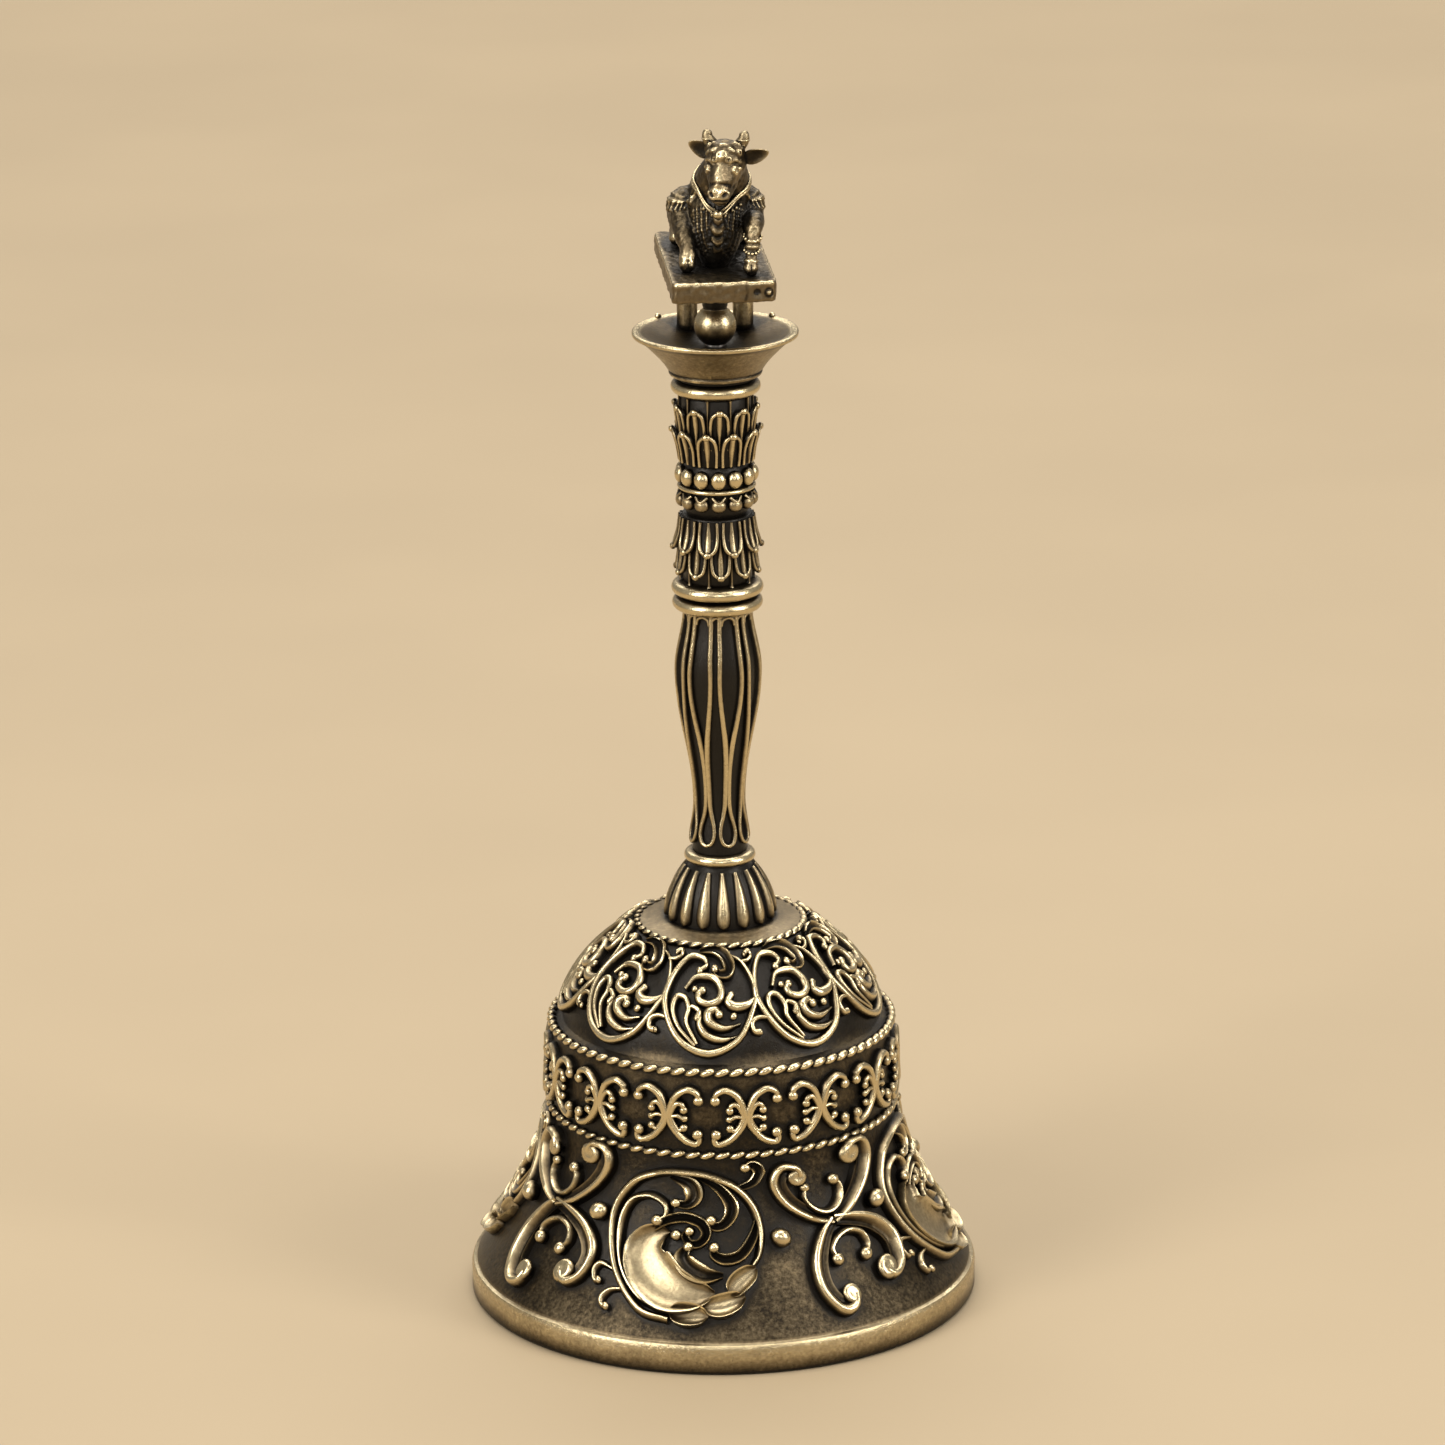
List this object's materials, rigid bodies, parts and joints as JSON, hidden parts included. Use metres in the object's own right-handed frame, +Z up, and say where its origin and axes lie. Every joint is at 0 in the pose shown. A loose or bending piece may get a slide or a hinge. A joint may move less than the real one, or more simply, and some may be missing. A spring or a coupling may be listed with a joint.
{
  "type": "brass hand bell with bull finial",
  "caption": "Brass puja hand bell with a flared scroll-covered bell, a baluster handle, a reclining bull finial and a clapper that swings on a link.",
  "frame": {"origin": "centre of the mouth's resting face, on the bell's axis", "axes": "+Z up along the bell's axis, -Y towards the bull's front, +X to the right when the bull is seen from its front"},
  "size_m": [0.08, 0.08, 0.1897],
  "materials": {
    "bell_brass": "antiqued brass casting, dark oxidised ground with rubbed lighter high spots",
    "ornament_brass": "antiqued brass scrollwork, polished ridges with black patina in the hollows",
    "rope_brass": "twisted brass wire, bright on the crowns and dark between the twists",
    "handle_brass": "antiqued brass casting, rubbed bright on ribs and leaves",
    "ring_brass": "turned brass ring, worn bright",
    "capital_brass": "turned brass, brown patina with fine turning marks",
    "bull_brass": "antiqued brass casting, worn bright on the raised parts",
    "rod_steel": "plain dark steel rod and nut",
    "clapper_brass": "plain cast and wire brass, dull"
  },
  "bodies": {
    "bell": {"bell_body": "bell_brass", "shoulder_rope": "rope_brass", "waist_rope": "rope_brass", "crown_rope": "rope_brass", "dome_medallions": "ornament_brass", "band_scrolls": "ornament_brass", "skirt_medallions": "ornament_brass", "skirt_crossed_scrolls": "ornament_brass", "skirt_studs": "ornament_brass", "crown_plate": "handle_brass", "stem_foot": "handle_brass", "neck_ring": "ring_brass", "grip": "handle_brass", "lower_collar": "ring_brass", "lower_leaf_sleeve": "handle_brass", "bead_collar": "ring_brass", "upper_leaf_sleeve": "handle_brass", "upper_collar": "ring_brass", "capital": "capital_brass", "capital_pins": "ring_brass", "finial_post": "capital_brass", "plinth_props": "capital_brass", "plinth": "bull_brass", "bull": "bull_brass", "bull_horns": "bull_brass", "bull_collar": "bull_brass", "tie_rod": "rod_steel", "crown_washer": "clapper_brass", "crown_nut": "rod_steel", "clapper_hanger": "clapper_brass"},
    "link": {"clapper_link": "clapper_brass"},
    "clapper": {"clapper_rod": "clapper_brass", "clapper_ball": "clapper_brass"}
  },
  "joints": [
    {"name": "link_swing", "type": "hinge", "parent": "bell", "child": "link", "pos_m": [0, 0, 0.04516], "axis": [0, 1, 0], "range_deg": [-37, 37]},
    {"name": "clapper_sway", "type": "hinge", "parent": "link", "child": "clapper", "pos_m": [0, 0, 0.04092], "axis": [1, 0, 0], "range_deg": [-12, 12]}
  ]
}
